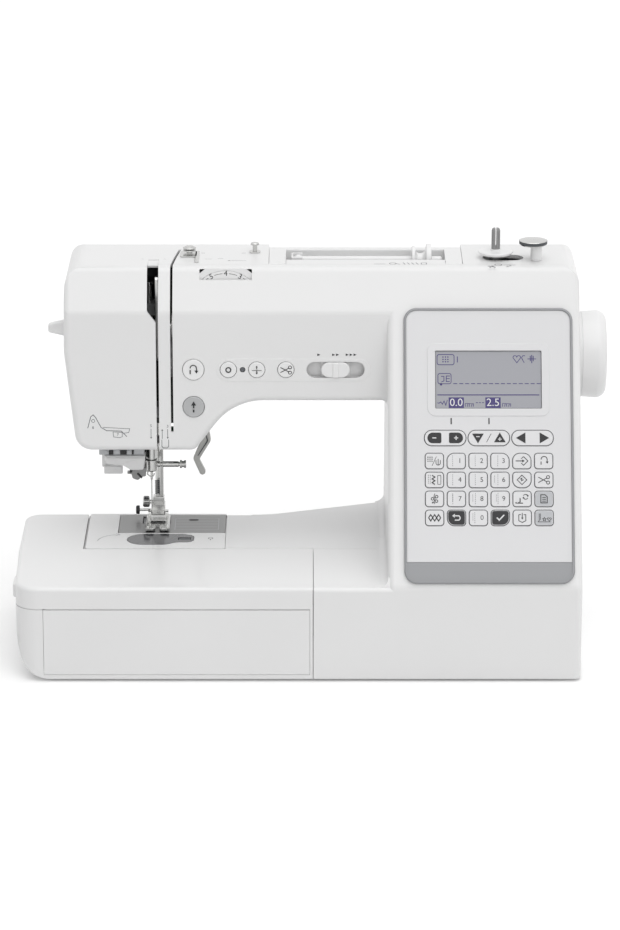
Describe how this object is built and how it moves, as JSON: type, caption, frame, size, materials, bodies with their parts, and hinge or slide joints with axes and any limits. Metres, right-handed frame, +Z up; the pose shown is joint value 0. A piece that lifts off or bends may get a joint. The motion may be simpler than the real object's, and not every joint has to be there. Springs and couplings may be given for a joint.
{
  "type": "sewing machine",
  "caption": "Computerised household sewing machine with a free arm, sloping key panel and display, carrying handle and sliding flat-bed attachment with an accessory door.",
  "frame": {"origin": "middle of the footprint, at the underside of the rubber feet", "axes": "+X towards the handwheel, +Y towards the back, +Z up; the operator sits on the -Y side"},
  "size_m": [0.413, 0.1962, 0.29],
  "materials": {
    "white_cover": "smooth moulded white, satin gloss",
    "pan_plastic": "fine-grained moulding",
    "white_button": "satin gloss",
    "grey_button": "satin",
    "panel_white": "printed sheet, satin",
    "panel_silver": "silver paint on plastic, satin",
    "key_rubber": "soft satin",
    "display_glass": "clear window over a grey-blue liquid-crystal panel",
    "clear_plastic": "clear moulding",
    "bright_steel": "polished",
    "steel": "ground",
    "frame_cast": "as cast",
    "bronze": "sintered",
    "belt_rubber": "matt",
    "foot_rubber": "matt",
    "motor_steel": "dark satin paint",
    "dark_plastic": "satin",
    "board": "solder resist"
  },
  "bodies": {
    "machine": {"base_pan": "pan_plastic", "bed_cover": "white_cover", "front_cover": "white_cover", "face_cover": "white_cover", "rear_cover": "white_cover", "plate_cover": "white_cover", "needle_plate": "steel", "rubber_feet": "foot_rubber", "fasteners": "steel", "main_frame": "frame_cast", "shaft_bushes": "bronze", "belts": "belt_rubber", "motor": "motor_steel", "bobbin_case": "dark_plastic", "thread_guides": "bright_steel", "winder_stop": "bright_steel", "panel_frame": "panel_silver", "operation_panel": "panel_white", "display": "display_glass", "circuit_boards": "board", "sockets": "dark_plastic"},
    "handwheel": {"handwheel": "white_cover", "upper_shaft": "steel"},
    "crank_link": {"crank_link": "steel"},
    "lower_shaft": {"lower_shaft": "steel"},
    "hook": {"hook": "steel"},
    "motor_pulley": {"motor_pulley": "frame_cast"},
    "needle_bar": {"needle_bar": "bright_steel", "needle": "bright_steel"},
    "needle_clamp_screw": {"needle_clamp_screw": "bright_steel"},
    "foot_lever": {"foot_lever": "grey_button"},
    "presser_bar": {"presser_bar": "bright_steel", "presser_spring": "steel", "foot_holder": "bright_steel"},
    "presser_foot": {"presser_foot": "bright_steel"},
    "take_up_lever": {"take_up_lever": "bright_steel"},
    "threader_lever": {"threader_lever": "white_button"},
    "threader_unit": {"threader_unit": "white_button"},
    "buttonhole_lever": {"buttonhole_lever": "white_button"},
    "tension_dial": {"tension_dial": "white_button"},
    "carrying_handle": {"carrying_handle": "white_cover"},
    "spool_pin": {"spool_pin": "white_button"},
    "spool_cap": {"spool_cap": "white_button"},
    "winder_slide": {"winder_slide": "steel"},
    "winder_shaft": {"winder_shaft": "bright_steel"},
    "speed_slider": {"speed_slider": "white_button"},
    "reverse_button": {"reverse_button": "white_button"},
    "start_button": {"start_button": "grey_button"},
    "reinforce_button": {"reinforce_button": "white_button"},
    "needle_button": {"needle_button": "white_button"},
    "cutter_button": {"cutter_button": "white_button"},
    "number_keys": {"number_keys": "key_rubber"},
    "function_keys": {"function_keys": "key_rubber"},
    "bobbin_cover": {"bobbin_cover": "clear_plastic"},
    "bobbin": {"bobbin": "clear_plastic"},
    "feed_dog": {"feed_dog": "steel"},
    "drop_feed_lever": {"drop_feed_lever": "dark_plastic"},
    "power_switch": {"power_switch": "dark_plastic"},
    "bed_attachment": {"bed_attachment": "white_cover"},
    "accessory_door": {"accessory_door": "white_cover"}
  },
  "joints": [
    {"name": "handwheel_turn", "type": "hinge", "parent": "machine", "child": "handwheel", "pos_m": [0.19, 0.04, 0.1955], "axis": [1, 0, 0], "continuous": true},
    {"name": "crank_link_turn", "type": "hinge", "parent": "handwheel", "child": "crank_link", "pos_m": [-0.101, 0.04, 0.2105], "axis": [1, 0, 0], "continuous": true},
    {"name": "lower_shaft_turn", "type": "hinge", "parent": "machine", "child": "lower_shaft", "pos_m": [-0.02, 0.0293, 0.0365], "axis": [1, 0, 0], "continuous": true},
    {"name": "hook_turn", "type": "hinge", "parent": "machine", "child": "hook", "pos_m": [-0.112, 0.0125, 0.05], "axis": [0, 0, 1], "continuous": true},
    {"name": "motor_turn", "type": "hinge", "parent": "machine", "child": "motor_pulley", "pos_m": [0.09, 0.03, 0.108], "axis": [1, 0, 0], "continuous": true},
    {"name": "needle_bar_slide", "type": "slide", "parent": "machine", "child": "needle_bar", "axis": [0, 0, 1], "range_m": [-0.03, 0]},
    {"name": "clamp_screw_turn", "type": "hinge", "parent": "needle_bar", "child": "needle_clamp_screw", "pos_m": [-0.1, 0.04, 0.11375], "axis": [1, 0, 0], "continuous": true},
    {"name": "foot_lever_turn", "type": "hinge", "parent": "machine", "child": "foot_lever", "pos_m": [-0.083, 0.0635, 0.1545], "axis": [0, -1, 0], "range_deg": [0, 45]},
    {"name": "presser_bar_slide", "type": "slide", "parent": "machine", "child": "presser_bar", "axis": [0, 0, 1], "range_m": [0, 0.006], "deforming": ["presser_spring"]},
    {"name": "presser_foot_tip", "type": "hinge", "parent": "presser_bar", "child": "presser_foot", "pos_m": [-0.1116, 0.048, 0.075], "axis": [-1, 0, 0], "range_deg": [0, 10]},
    {"name": "take_up_turn", "type": "hinge", "parent": "machine", "child": "take_up_lever", "pos_m": [-0.1084, 0.022, 0.2005], "axis": [1, 0, 0], "range_deg": [0, 20]},
    {"name": "threader_lever_slide", "type": "slide", "parent": "machine", "child": "threader_lever", "axis": [0.112, 0, -0.9937], "range_m": [0, 0.042], "stiffness_N_per_m": 20, "springref_m": -0.02},
    {"name": "threader_unit_slide", "type": "slide", "parent": "machine", "child": "threader_unit", "axis": [0, 0, -1], "range_m": [0, 0.0201]},
    {"name": "buttonhole_slide", "type": "slide", "parent": "machine", "child": "buttonhole_lever", "axis": [0, 0, -1], "range_m": [0, 0.03]},
    {"name": "tension_turn", "type": "hinge", "parent": "machine", "child": "tension_dial", "pos_m": [-0.0599, 0.005, 0.2405], "axis": [0, 1, 0], "range_deg": [-150, 150]},
    {"name": "handle_turn", "type": "hinge", "parent": "machine", "child": "carrying_handle", "pos_m": [0.037, 0.0175, 0.2625], "axis": [1, 0, 0], "range_deg": [0, 90]},
    {"name": "spool_pin_turn", "type": "hinge", "parent": "machine", "child": "spool_pin", "pos_m": [-0.0097, 0.04, 0.264], "axis": [0, -1, 0], "range_deg": [0, 60]},
    {"name": "spool_cap_slide", "type": "slide", "parent": "spool_pin", "child": "spool_cap", "axis": [1, 0, 0], "range_m": [-0.06, 0.006]},
    {"name": "winder_shift", "type": "slide", "parent": "machine", "child": "winder_slide", "axis": [1, 0, 0], "range_m": [0, 0.004]},
    {"name": "winder_turn", "type": "hinge", "parent": "winder_slide", "child": "winder_shaft", "pos_m": [0.128, 0.0275, 0.26], "axis": [0, 0, 1], "continuous": true},
    {"name": "speed_slide", "type": "slide", "parent": "machine", "child": "speed_slider", "axis": [1, 0, 0], "range_m": [-0.0099, 0.0099]},
    {"name": "reverse_press", "type": "slide", "parent": "machine", "child": "reverse_button", "axis": [0, 1, 0], "range_m": [0, 0.0012], "stiffness_N_per_m": 300, "springref_m": -0.002},
    {"name": "start_press", "type": "slide", "parent": "machine", "child": "start_button", "axis": [0, 1, 0], "range_m": [0, 0.0012], "stiffness_N_per_m": 300, "springref_m": -0.002},
    {"name": "reinforce_press", "type": "slide", "parent": "machine", "child": "reinforce_button", "axis": [0, 1, 0], "range_m": [0, 0.0012], "stiffness_N_per_m": 300, "springref_m": -0.002},
    {"name": "needle_press", "type": "slide", "parent": "machine", "child": "needle_button", "axis": [0, 1, 0], "range_m": [0, 0.0012], "stiffness_N_per_m": 300, "springref_m": -0.002},
    {"name": "cutter_press", "type": "slide", "parent": "machine", "child": "cutter_button", "axis": [0, 1, 0], "range_m": [0, 0.0012], "stiffness_N_per_m": 300, "springref_m": -0.002},
    {"name": "number_keys_press", "type": "slide", "parent": "machine", "child": "number_keys", "axis": [0, 0.8949, -0.4462], "range_m": [0, 0.0008], "stiffness_N_per_m": 500, "springref_m": -0.002},
    {"name": "function_keys_press", "type": "slide", "parent": "machine", "child": "function_keys", "axis": [0, 0.8949, -0.4462], "range_m": [0, 0.0008], "stiffness_N_per_m": 500, "springref_m": -0.002},
    {"name": "bobbin_cover_lift", "type": "slide", "parent": "machine", "child": "bobbin_cover", "axis": [0, 0, 1], "range_m": [0, 0.03]},
    {"name": "bobbin_turn", "type": "hinge", "parent": "machine", "child": "bobbin", "pos_m": [-0.112, 0.0125, 0.055], "axis": [0, 0, 1], "continuous": true},
    {"name": "feed_dog_lift", "type": "slide", "parent": "machine", "child": "feed_dog", "axis": [0, 0, 1], "range_m": [-0.0015, 0.001]},
    {"name": "drop_feed_slide", "type": "slide", "parent": "machine", "child": "drop_feed_lever", "axis": [1, 0, 0], "range_m": [-0.0055, 0.0055]},
    {"name": "power_switch_rock", "type": "hinge", "parent": "machine", "child": "power_switch", "pos_m": [0.177, 0.0165, 0.036], "axis": [0, 1, 0], "range_deg": [-6, 6]},
    {"name": "attachment_slide", "type": "slide", "parent": "machine", "child": "bed_attachment", "axis": [-1, 0, 0], "range_m": [0, 0.21]},
    {"name": "door_turn", "type": "hinge", "parent": "bed_attachment", "child": "accessory_door", "pos_m": [-0.09, -0.0955, 0.007], "axis": [1, 0, 0], "range_deg": [0, 80]}
  ],
  "couplings": [
    {"joint": "crank_link_turn", "follows": "handwheel_turn", "ratio": -1},
    {"joint": "lower_shaft_turn", "follows": "handwheel_turn", "ratio": 1},
    {"joint": "hook_turn", "follows": "handwheel_turn", "ratio": 2},
    {"joint": "motor_turn", "follows": "handwheel_turn", "ratio": 4},
    {"joint": "foot_lever_turn", "follows": "presser_bar_slide", "rad_per_m": 130.8},
    {"joint": "threader_unit_slide", "follows": "threader_lever_slide", "ratio": 0.476}
  ]
}
